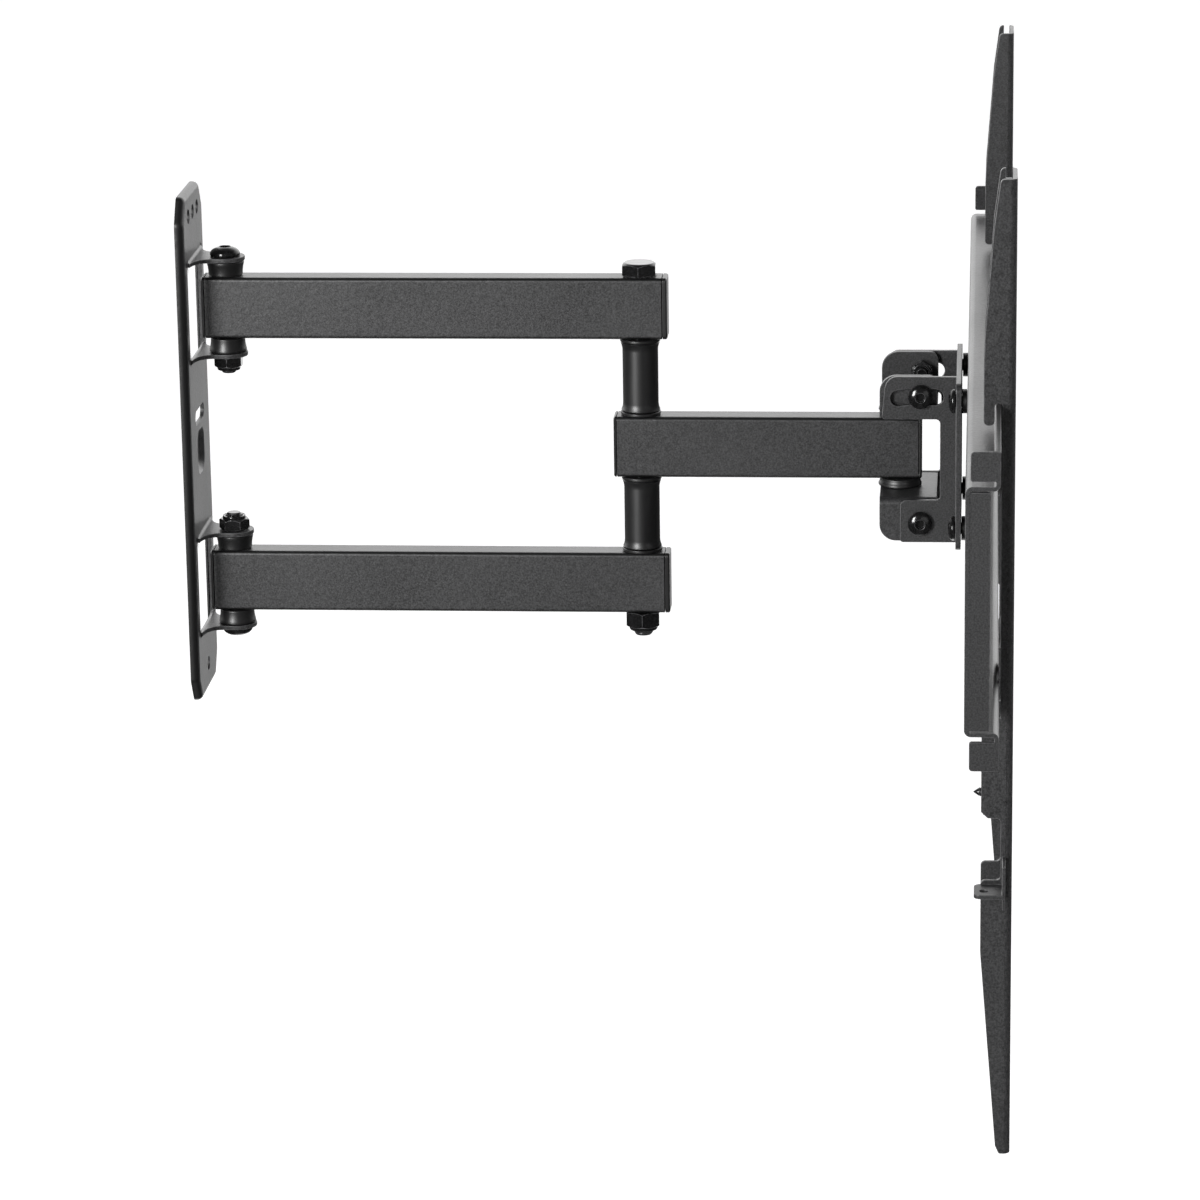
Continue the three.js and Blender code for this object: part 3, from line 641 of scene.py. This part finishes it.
def shank(radius, length, pitch, threaded, point=0.24):
    """A bolt's shank, with a helical thread on its lowest stretch and a tip.

    point is the share of the radius that the tip tapers away.
    """
    steps, depth, slope = 40, 0.54 * pitch, 0.7
    turns = turns_of(steps)
    levels = [-length + i * pitch / 6 for i in range(int(6 * threaded / pitch) + 1)]
    rows = []
    for level in levels:
        row = []
        runout = max(0.0, 1 - (levels[-1] - level) / pitch)
        tip = max(0, radius * point - (level + length) * slope)
        for i, turn in enumerate(turns):
            wave = abs(((level / pitch - i / steps) % 1) * 2 - 1)
            groove = depth * min(1, max(0, 1.25 * wave - 0.12))
            row.append(around(radius - max(groove * (1 - runout), tip), turn, level))
        rows.append(row)
    rows.append([around(radius, turn, 0.8) for turn in turns])
    return skin(rows)


def dome_bolt(radius, head, height, socket, length, pitch, threaded):
    """A button-head bolt with a hex socket and a small flange edge."""
    crown = [(head * math.cos(t), 1 + (height - 1) * math.sin(t)) for t in
             [math.pi / 2 * i / 12 for i in range(1, 12)]]
    body = turned([(0, 0), (head - 0.3, 0), (head, 0.3), (head, 0.9), *crown, (0, height)], 56)
    hole = prism(hexagon(2 * socket), "Z", height - 2.4, height + 1)
    low, high = height - 0.75, height + 0.3
    mouth = turned([(0, low), (socket * 0.98, low), (socket * 1.5, high), (0, high)], 40)
    return soften(joined(less(body, hole, mouth), shank(radius, length, pitch, threaded)), 0.12, 50)


def hex_bolt(radius, flats, height, length, pitch, threaded):
    """A hex-head bolt with a chamfered crown and a washer face."""
    crown = turned([(0, 0.5), (flats * 0.56, 0.5), (flats * 0.6, 0.9), (flats * 0.6, height - 1.5),
                    (flats * 0.46, height - 0.2), (flats * 0.43, height), (0, height)], 72)
    head = both(prism(hexagon(flats), "Z", 0, height + 1), crown)
    face = turned([(0, 0), (flats * 0.5, 0), (flats * 0.5, 0.8), (0, 0.8)], 64)
    return soften(joined(head, face, shank(radius, length, pitch, threaded)), 0.14, 40)


def lock_nut(radius, flats, height, collar):
    """A nyloc nut: chamfered hexagon, round collar, and a shallow recess in the collar's end where the nylon
    ring sits.
    """
    foot = -height - 0.1
    chamfer = turned([(0, foot), (flats * 0.5, foot), (flats * 0.6, 0.9 - height), (flats * 0.6, -0.7),
                      (flats * 0.5, 0), (0, 0)], 72)
    hexed = both(prism(hexagon(flats), "Z", foot, 0), chamfer)
    girth, deep, edge = flats * 0.43, height + collar, 0.9
    rim = reversed(arc(girth - edge, edge - deep, edge, 0, -math.pi / 2, 6)[:-1])
    end, shoulder = -deep + 0.05, -height + 0.4
    shell = turned([(0, end), (girth - 1.5, -deep), (girth - edge, end), *rim, (girth, shoulder),
                    (0, shoulder)], 64)
    bore = prism(circle(0, 0, radius + FIT), "Z", -deep - 1, 1)
    ring_radius, ring_top = radius + 1.4, 0.45 - deep
    well = turned([(0, -deep - 1), (ring_radius, -deep - 1), (ring_radius, ring_top), (0, ring_top)], 48)
    return soften(less(joined(hexed, shell), bore, well), 0.14, 40)


AIM = {"+X": Vector((1, 0, 0)), "-X": Vector((-1, 0, 0)), "+Y": Vector((0, 1, 0)), "-Y": Vector((0, -1, 0)),
       "+Z": Vector((0, 0, 1)), "-Z": Vector((0, 0, -1))}
STOCK = {}  # one finished fastener of each kind and length, to copy


def build_fastener(node, head_way, kind, above, *sizes):
    """A copy of a bolt or nut in its CAD node's place, its head or seat facing head_way."""
    spans, axis = span(node), "XYZ".index(head_way[1])
    sign = 1 if head_way[0] == "+" else -1
    length = spans[axis][1] - spans[axis][0] - above
    key = (kind.__name__, sizes, round(length, 2))
    if key not in STOCK:
        STOCK[key] = kind(*[length if size == "length" else size for size in sizes])
    obj = STOCK[key].copy()
    obj.data = STOCK[key].data.copy()
    bpy.context.scene.collection.objects.link(obj)
    centre = Vector([middle(pair) for pair in spans])
    centre[axis] = (spans[axis][1] if sign > 0 else spans[axis][0]) - sign * above
    turn = AIM["+Z"].rotation_difference(AIM[head_way]).to_matrix().to_4x4()
    obj.data.transform(Matrix.Translation(centre * MM) @ turn)
    fit(obj, node, f"{node}_{'threaded' if 'bolt' in node else 'formed'}")


def wall_bolt(node, way):
    build_fastener(node, way, dome_bolt, 4.6, M8, 7.25, 4.6, 2.5, "length", 1.25, 10)


def wall_nut(node, way):
    build_fastener(node, way, lock_nut, 0, M8, 13, 5, 2)


def big_bolt(node, way, threaded):
    build_fastener(node, way, hex_bolt, 6.4, M10, 16, 6.4, "length", 1.5, threaded)


def big_nut(node, way):
    build_fastener(node, way, lock_nut, 0, M10, 16, 7.4, 2.2)


def small_bolt(node, way, threaded):
    build_fastener(node, way, dome_bolt, 3.6, M6, 5.8, 3.6, 2, "length", 1.0, threaded)


def small_nut(node, way):
    build_fastener(node, way, lock_nut, 0, M6, 10, 4, 1.4)


def build_wall_fasteners():
    for side, way in (("upper", "+Z"), ("lower", "-Z")):
        wall_bolt(f"{side}_wall_bolt", way)
        wall_nut(f"{side}_wall_nut", way)


def build_arms():
    for side in ("upper", "lower"):
        build_tube(f"{side}_arm", [(WALL_X, M8), (ELBOW_X, M10)])
        build_cap(f"{side}_arm_wall_cap", -1, 1.2)
        build_cap(f"{side}_arm_elbow_cap", 1, 2.2)
        build_bushing(f"{side}_arm_top_bushing", M8, False)
        build_bushing(f"{side}_arm_bottom_bushing", M8, True)
        build_sleeve(f"{side}_elbow_sleeve")
        for place in ("inner", "outer"):
            build_washer(f"{side}_{place}_washer", M10)
    big_bolt("elbow_bolt", "+Z", 18)
    big_nut("elbow_nut", "+Z")


def build_mid_arm():
    build_tube("mid_arm", [(ELBOW_X, M10), (HEAD_X, M10)])
    build_cap("mid_arm_elbow_cap", -1, 1.2)
    build_cap("mid_arm_head_cap", 1, 1.2)
    build_bushing("upper_head_bushing", M10, False)
    build_bushing("lower_head_bushing", M10, True)


# Head -------------------------------------------------------------------------------------------

CLEVIS = {"corner": 8, "front_corner": 4, "bend": 2.2}
TILT_UP, TILT_DOWN = math.radians(6.6), math.radians(9.6)  # how far the slot runs in front and behind
TILT_SLOT = 3.9  # half the slot's width
SIDE_Y = 30  # outer faces of the tilt bracket's sides
SIDE_WINDOW = 19.8  # half the height of the gap in them
PLATE_BOLT = (39, 31)  # how far the plate's bolts stand from its middle along Y and Z


def clevis():
    """A cup of bent sheet above the middle arm, opening upwards."""
    (x0, x1), (_, half), (inner, outer) = span("upper_clevis")
    y, z = half - HEAD_SHEET / 2, inner + HEAD_SHEET / 2
    cup = prism(strip([(-y, outer), (-y, z), (y, z), (y, outer)], HEAD_SHEET, CLEVIS["bend"]), "X", x0, x1)
    side = rounded([(x0, inner - 1, 0), (x1, inner - 1, 0), (x1, outer, CLEVIS["front_corner"]),
                    (x0, outer, CLEVIS["corner"])], 12)
    reach = (-half - 1, half + 1)
    return less(
        both(cup, prism(side, "Y", *reach)),
        prism(circle(HEAD_X, 0, M10 + FIT), "Z", 0, inner + HEAD_SHEET + 1),
        prism(circle(TILT_X, -TILT_Z, M6 + FIT), "Y", *reach),
    )


def plate_bores(low, high):
    """Bores for the four bolts that join the tilt bracket's plate and the rail."""
    y, z = PLATE_BOLT
    return [prism(circle(a * y, b * z, M6 + FIT), "X", low, high) for a in (-1, 1) for b in (-1, 1)]


def tilt_slot():
    """An arc about the tilt axis with round ends."""
    radius = -2 * TILT_Z
    front, back = math.pi / 2 - TILT_UP, math.pi / 2 + TILT_DOWN
    end = [(TILT_X + radius * math.cos(a), TILT_Z + radius * math.sin(a)) for a in (back, front)]
    return [
        *arc(TILT_X, TILT_Z, radius + TILT_SLOT, front, back, 10),
        *arc(*end[0], TILT_SLOT, back, back + math.pi, 14)[1:-1],
        *arc(TILT_X, TILT_Z, radius - TILT_SLOT, back, front, 10),
        *arc(*end[1], TILT_SLOT, front + math.pi, front + 2 * math.pi, 14)[1:-1],
    ]


def build_tilt_bracket():
    (_, x1), (_, half), (_, top) = span("tilt_bracket")
    plate, window = x1 - HEAD_SHEET, SIDE_WINDOW
    x = HEAD_X
    side = rounded([
        (x - 6.4, top, 6), (x - 8.4, window, 1.5), (x + 19.4, window, 2), (x + 19.4, -window, 2),
        (x + 0.5, -window, 3), (x + 0.5, -top, 1.5), (plate + 1, -top, 0), (plate + 1, top, 0),
    ], 10)
    sides = [prism(side, "Y", *sorted((way * SIDE_Y, way * (SIDE_Y - HEAD_SHEET)))) for way in (-1, 1)]
    front = prism(rectangle(2 * half, 2 * top, 4), "X", plate, x1)
    reach = (-SIDE_Y - 1, SIDE_Y + 1)
    bracket = less(
        joined(front, *sides), prism(tilt_slot(), "Y", *reach),
        prism(circle(TILT_X, TILT_Z, M6 + FIT), "Y", *reach), *plate_bores(plate - 5, x1 + 5),
    )
    fit(soften(bracket, 0.3), "tilt_bracket", "tilt_bracket_pressing")


def build_swivel_head():
    fit(soften(clevis(), 0.3), "upper_clevis", "upper_clevis_pressing")
    fit(soften(turned_over(clevis()), 0.3), "lower_clevis", "lower_clevis_pressing")
    big_bolt("head_pivot_bolt", "+Z", 14)
    big_nut("head_pivot_nut", "+Z")
    for side, way in (("near", "-Y"), ("far", "+Y")):
        for level in ("upper", "lower"):
            small_bolt(f"{side}_{level}_tilt_bolt", way, 7)
            small_nut(f"{side}_{level}_tilt_nut", way)


# Rail -------------------------------------------------------------------------------------------

RAIL_BEND = 2.0
FLANGE_Z = 55
END_FLAP = 10.8
TAB_BACK, TAB_FOOT = 2.2, 2.2  # an end tab's place in front of the rail's back and above its flange


def build_rail():
    (back, front), (low, high), (_, lip_z) = span("tv_rail")
    web, lip, flange = back + SHEET / 2, front - SHEET / 2, FLANGE_Z - SHEET / 2
    line = [(lip, lip_z), (lip, flange), (web, flange), (web, -flange), (lip, -flange), (lip, -lip_z)]
    channel = prism(strip(line, SHEET, RAIL_BEND, 8), "Y", low, high)
    ends = []
    for y in ((low, low + SHEET), (high - SHEET, high)):
        ends.append(box((back + 1, back + END_FLAP), y, (-flange + 1.5, flange - 1.5)))
        for way in (-1, 1):
            foot, top, tab = way * (FLANGE_Z + TAB_FOOT), way * lip_z, back + TAB_BACK
            outline = rounded([(tab, foot, 1), (front - 1, foot, 0), (front - 1, top, 0), (tab, top, 1.5)], 5)
            ends.append(prism(outline, "Y", *y))
    rail = less(joined(channel, *ends), *plate_bores(back - 5, back + 5))
    fit(soften(rail, 0.3), "tv_rail", "tv_rail_channel")


def build_tilt_head():
    build_tilt_bracket()
    build_rail()
    for side in ("near", "far"):
        for level in ("upper", "lower"):
            node = f"{side}_{level}_plate"
            small_bolt(f"{node}_bolt", "-X", 6)
            small_nut(f"{node}_nut", "-X")
            (x0, x1), y, z = span(f"{node}_spacer")
            spacer = ring((y[1] - y[0]) / 2, M6 + FIT, x1 - x0, 0.4, 48)
            spacer.data.transform(Matrix.Rotation(math.pi / 2, 4, "Y"))
            spacer = soften(moved(spacer, x0, middle(y), middle(z)), 0)
            fit(spacer, f"{node}_spacer", f"{node}_spacer_moulding")


# TV brackets ------------------------------------------------------------------------------------

BRACKET_WIDTH, BRACKET_DEPTH, BRACKET_BEND = 28.7, 14, 2.0
TV_SLOT = {"width": 8.5, "length": 60, "corner": 4.2, "pitch": 100, "first": -180, "count": 4}
LOCK_Z, LOCK_SHANK, BRIDGE_HEIGHT = -111, 2.2, 13
# A latch's lug runs from back to front, both measured behind the TV face, and reaches out sideways.
LATCH = {"back": 17, "front": 3, "z": -151, "reach": 15, "corner": 3, "hole": 2}
LATCH_HOLE = (4.5, 9)  # from the lug's back end and from the bracket's side
LATCH_STRIP = {"thickness": 1.4, "below": 5, "above": 13}
RELIEF = 4.5


def latch(face, y):
    """A lug with a hole on the bracket's side, and the strip behind it."""
    far, near = face - LATCH["back"], face - LATCH["front"]
    side = -BRACKET_WIDTH / 2 - LATCH["reach"]
    low, high = LATCH["z"] - SHEET / 2, LATCH["z"] + SHEET / 2
    corner = LATCH["corner"]
    plan = rounded([(far, side, corner), (near, side, 0), (near, -y, 0), (far, -y, corner)], 8)
    hole = circle(far + LATCH_HOLE[0], -BRACKET_WIDTH / 2 - LATCH_HOLE[1], LATCH["hole"])
    lug = less(prism(plan, "Z", low, high), prism(hole, "Z", low - 1, high + 1))
    levels = (low - LATCH_STRIP["below"], high + LATCH_STRIP["above"])
    return lug, box((near - LATCH_STRIP["thickness"], near), (side, -y), levels)


def bracket_outline(face, bottom, top):
    """The outline of a TV bracket's side, from its top round by the hook over the rail and the lock."""
    back, lip = face - BRACKET_DEPTH, span("tv_rail")[2][1]
    hook, seat, notch = face - 9.2, face - 5.7, face - 5.2
    return rounded([
        (face + 1, top, 0), (face - 7.2, top, 2), (face - 10, 149, 12), (face - 12, 122, 12),
        (face - 13.6, 101, 12), (back, 86, 6), (back, 61, 2), (hook, 61, 2), (hook, lip + 0.8, 1.6),
        (seat, lip + 0.8, 1.6), (seat, -lip - 2, 0), (back, -lip - 3, 2), (back, -116, 1),
        (back + 3, -119, 1), (notch, -119, 2), (notch, -148, 2), (back, -148, 2), (back, -182, 4),
        (face - 6.7, -275, 2), (face - 5, bottom, 1), (face + 1, bottom, 0),
    ], 5)


def build_tv_bracket(side):
    node = f"{side}_tv_bracket"
    (_, face), (_, high), (bottom, top) = span(node)
    back, centre = face - BRACKET_DEPTH, high - BRACKET_WIDTH / 2
    y, mid = BRACKET_WIDTH / 2 - SHEET / 2, face - SHEET / 2
    line = [(back - 5, -y), (mid, -y), (mid, y), (back - 5, y)]
    channel = prism(strip(line, SHEET, BRACKET_BEND), "Z", bottom, top)
    profile = prism(bracket_outline(face, bottom, top), "Y", -BRACKET_WIDTH, BRACKET_WIDTH)
    slot = rectangle(TV_SLOT["width"], TV_SLOT["length"], TV_SLOT["corner"], 12)
    heights = [TV_SLOT["first"] + i * TV_SLOT["pitch"] for i in range(TV_SLOT["count"])]
    slots = [moved(prism(slot, "X", mid - 5, face + 5), 0, 0, height) for height in heights]
    relief = box((face - 5, face - 2.2), (y - SHEET, y + SHEET), (top - RELIEF, top + 1))
    body = less(both(channel, profile), relief, *slots)
    bridge_x = back + 2
    bridge = less(
        box((bridge_x - 1, bridge_x + 1), (-y, y), (LOCK_Z - BRIDGE_HEIGHT / 2, LOCK_Z + BRIDGE_HEIGHT / 2)),
        prism(circle(0, LOCK_Z, LOCK_SHANK + FIT), "X", bridge_x - 10, bridge_x + 10),
    )
    whole = moved(joined(body, bridge, *latch(face, y)), 0, centre, 0)
    fit(soften(whole, 0.3), node, f"{node}_channel")


def build_lock_screw(side):
    """A thumbscrew with a knurled head and a pointed tip."""
    node = f"{side}_lock_screw"
    (tip, end), y, z = span(node)
    head, thick, flutes, depth = (y[1] - y[0]) / 2, 3.5, 20, 0.22
    length = end - tip - thick
    turns = turns_of(4 * flutes)
    rows = []
    for level, size in ((-thick, 0.9), (-thick + 0.4, 1), (-0.5, 1), (0, 0.86)):
        rows.append([around((head - depth + depth * math.cos(flutes * t)) * size, t, level) for t in turns])
    knob = moved(skin(rows), 0, 0, thick)
    screw = joined(knob, shank(LOCK_SHANK, length, 0.8, length - 1, 0.9))
    screw.data.transform(Matrix.Rotation(math.pi / 2, 4, "Y"))
    fit(soften(moved(screw, tip + length, middle(y), middle(z)), 0.08, 50), node, f"{node}_knurled")


build_wall_plate()
build_wall_fasteners()
build_arms()
build_mid_arm()
build_swivel_head()
build_tilt_head()
for side in ("near", "far"):
    build_tv_bracket(side)
    build_lock_screw(side)
for original in STOCK.values():
    bpy.data.objects.remove(original)


# Stage ------------------------------------------------------------------------------------------

FRONT_GLOW, BACK_GLOW, FLOOR_GLOW = 0.1, 2.1, 0.66
OVERHEAD_SHARE, FLAGGED_SHARE = 0.12, 0.05
FLOOR_HALF, FLOOR_DROP = 14000, 60


def build_floor():
    """A wide pale floor a little below the lowest point."""
    half, z = FLOOR_HALF, cad_low.z / MM - FLOOR_DROP
    bm = bmesh.new()
    corners = [(-half, -half, z), (half, -half, z), (half, half, z), (-half, half, z)]
    bm.faces.new([bm.verts.new([MM * v for v in corner]) for corner in corners])
    floor = new_object(bm, "floor")
    n = Nodes("pale_floor")
    tone = n.mix(n.noise(3, 3), (0.9, 0.9, 0.9, 1), (0.92, 0.92, 0.92, 1))
    floor.data.materials.append(n.surface(Base_Color=tone, Roughness=0.9, Specular_IOR_Level=0.1,
                                          Emission_Color=tone, Emission_Strength=FLOOR_GLOW))
    floor.visible_glossy = False


def add_light(name, place, target, size, watts):
    data = bpy.data.lights.new(name, "AREA")
    data.shape, data.size, data.size_y, data.energy = "RECTANGLE", size[0], size[1], watts
    light = bpy.data.objects.new(name, data)
    bpy.context.scene.collection.objects.link(light)
    light.location = place
    light.rotation_euler = (Vector(target) - Vector(place)).to_track_quat("-Z", "Y").to_euler()


def build_world():
    """A studio that is bright behind the mount, and dim in front, overhead and low down at the sides.

    Seen directly it is plain white.
    """
    world = bpy.data.worlds.new("studio")
    world.use_nodes = True
    bpy.context.scene.world = world
    nodes, links = world.node_tree.nodes, world.node_tree.links
    background = nodes["Background"]
    background.inputs["Color"].default_value = (1, 1, 1, 1)
    way = nodes.new("ShaderNodeSeparateXYZ")
    links.new(nodes.new("ShaderNodeTexCoord").outputs["Generated"], way.inputs[0])

    def ramp(source, start, end, low, high):
        node = nodes.new("ShaderNodeMapRange")
        node.interpolation_type = "SMOOTHSTEP"
        for name, value in (("From Min", start), ("From Max", end), ("To Min", low), ("To Max", high)):
            node.inputs[name].default_value = value
        links.new(source, node.inputs["Value"])
        return node.outputs["Result"]

    def combined(operation, *values):
        node = nodes.new("ShaderNodeMath")
        node.operation = operation
        for i, value in enumerate(values):
            links.new(value, node.inputs[i])
        return node.outputs[0]

    behind = ramp(way.outputs["Y"], -0.1, 0.8, FRONT_GLOW, BACK_GLOW)
    overhead = ramp(way.outputs["Z"], 0.5, 0.85, 1.0, OVERHEAD_SHARE)
    above = ramp(way.outputs["Z"], -0.12, 0.0, 0.0, 1.0)
    aside = combined("ABSOLUTE", way.outputs["X"])
    flagged = combined("MAXIMUM", above, ramp(aside, 0.1, 0.3, 1.0, FLAGGED_SHARE))
    glow = combined("MULTIPLY", combined("MULTIPLY", behind, overhead), flagged)
    seen = nodes.new("ShaderNodeMix")
    links.new(nodes.new("ShaderNodeLightPath").outputs["Is Camera Ray"], seen.inputs["Factor"])
    links.new(glow, seen.inputs[2])
    seen.inputs[3].default_value = 1.0
    links.new(seen.outputs[0], background.inputs["Strength"])


def build_camera():
    """Looks at the mount from its near side, a little above and almost square to the arms."""
    azimuth, elevation, roll = math.radians(4.59), math.radians(15.45), math.radians(-0.83)
    target, distance = Vector((0.1983, 0, -0.0785)), 2.4157
    ahead = Vector((-math.sin(azimuth) * math.cos(elevation), math.cos(azimuth) * math.cos(elevation),
                    -math.sin(elevation)))
    right = Vector((math.cos(azimuth), math.sin(azimuth), 0))
    up = right.cross(ahead)
    right, up = right * math.cos(roll) + up * math.sin(roll), up * math.cos(roll) - right * math.sin(roll)
    data = bpy.data.cameras.new("camera")
    data.sensor_width, data.lens = 36, 148.4
    data.clip_start, data.clip_end = 0.05, 60
    camera = bpy.data.objects.new("camera", data)
    bpy.context.scene.collection.objects.link(camera)
    camera.matrix_world = Matrix((right, up, -ahead)).transposed().to_4x4()
    camera.location = target - ahead * distance
    bpy.context.scene.camera = camera


build_floor()
build_world()
add_light("key", place=(-0.95, -1.8, 0.5), target=(0.1, 0, 0), size=(0.6, 1.1), watts=52)
bpy.context.scene.view_settings.view_transform = "Standard"
build_camera()
